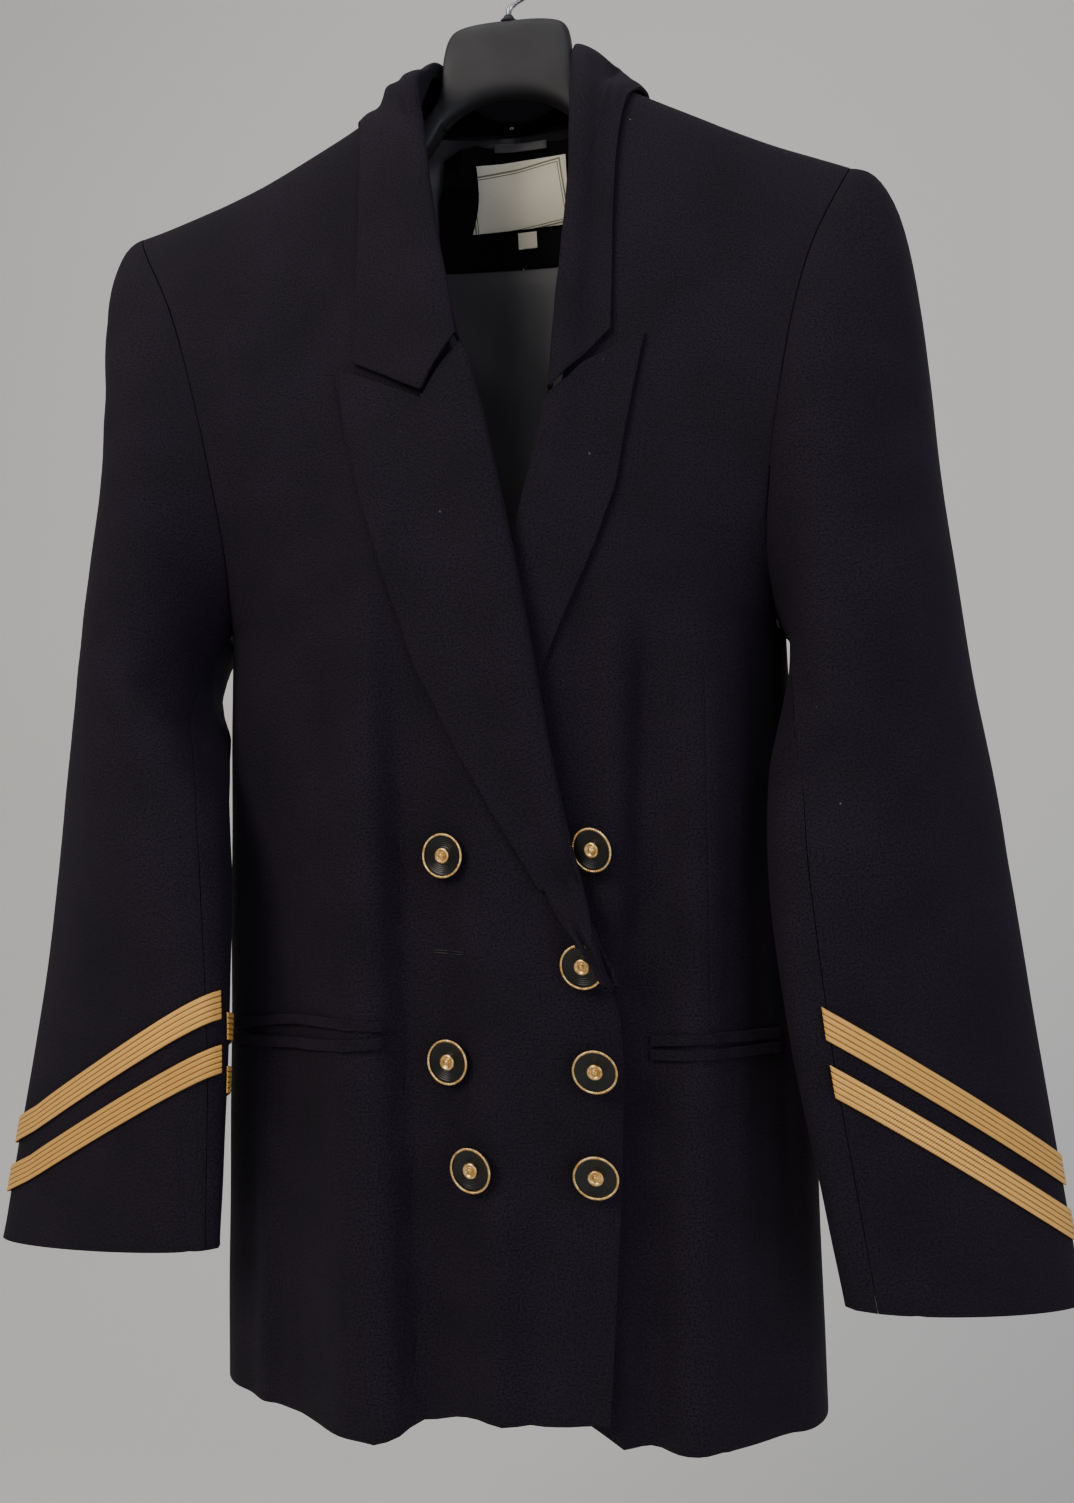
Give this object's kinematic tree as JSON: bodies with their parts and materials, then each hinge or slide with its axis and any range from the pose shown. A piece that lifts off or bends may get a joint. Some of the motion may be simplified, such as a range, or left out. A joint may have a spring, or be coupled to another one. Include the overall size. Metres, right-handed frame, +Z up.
{
  "type": "double-breasted blazer on a clothes hanger",
  "caption": "Dark wool blazer with peak lapels, metal-rimmed buttons and gold sleeve braid, hanging closed on a moulded hanger with a steel hook.",
  "frame": {"origin": "inside top of the hanger's hook, where a rail carries it", "axes": "+Z up, -Y towards the front of the blazer, +X towards the wearer's left"},
  "size_m": [0.603, 0.175, 0.8658],
  "materials": {
    "wool": "dark navy wool with a soft matt face",
    "satin": "grey satin lining with a soft sheen",
    "braid": "gold metallic braid with lengthwise ribs",
    "woven_label": "ivory woven satin",
    "button": "polished black",
    "gold_metal": "gold-plated, lightly worn",
    "hanger_plastic": "dark grey moulded, satin",
    "hook_steel": "bright plated wire"
  },
  "bodies": {
    "root": {"front_right": "wool", "front_left": "wool", "back_right": "wool", "back_left": "wool", "sleeve_upper_right": "wool", "sleeve_upper_left": "wool", "sleeve_under_right": "wool", "sleeve_under_left": "wool", "lapel_right": "wool", "lapel_left": "wool", "collar": "wool", "neck_facing": "wool", "welt_upper_right": "wool", "welt_upper_left": "wool", "welt_lower_right": "wool", "welt_lower_left": "wool", "lining_back": "satin", "hanger_loop": "satin", "label": "woven_label", "size_tab": "woven_label", "braid_upper_right": "braid", "braid_upper_left": "braid", "braid_lower_right": "braid", "braid_lower_left": "braid", "button_upper_right": "button", "button_upper_left": "button", "button_break_left": "button", "button_middle_right": "button", "button_middle_left": "button", "button_lower_right": "button", "button_lower_left": "button", "rim_upper_right": "gold_metal", "rim_upper_left": "gold_metal", "rim_break_left": "gold_metal", "rim_middle_right": "gold_metal", "rim_middle_left": "gold_metal", "rim_lower_right": "gold_metal", "rim_lower_left": "gold_metal", "boss_upper_right": "gold_metal", "boss_upper_left": "gold_metal", "boss_break_left": "gold_metal", "boss_middle_right": "gold_metal", "boss_middle_left": "gold_metal", "boss_lower_right": "gold_metal", "boss_lower_left": "gold_metal", "hanger": "hanger_plastic", "hook": "hook_steel"}
  },
  "joints": []
}
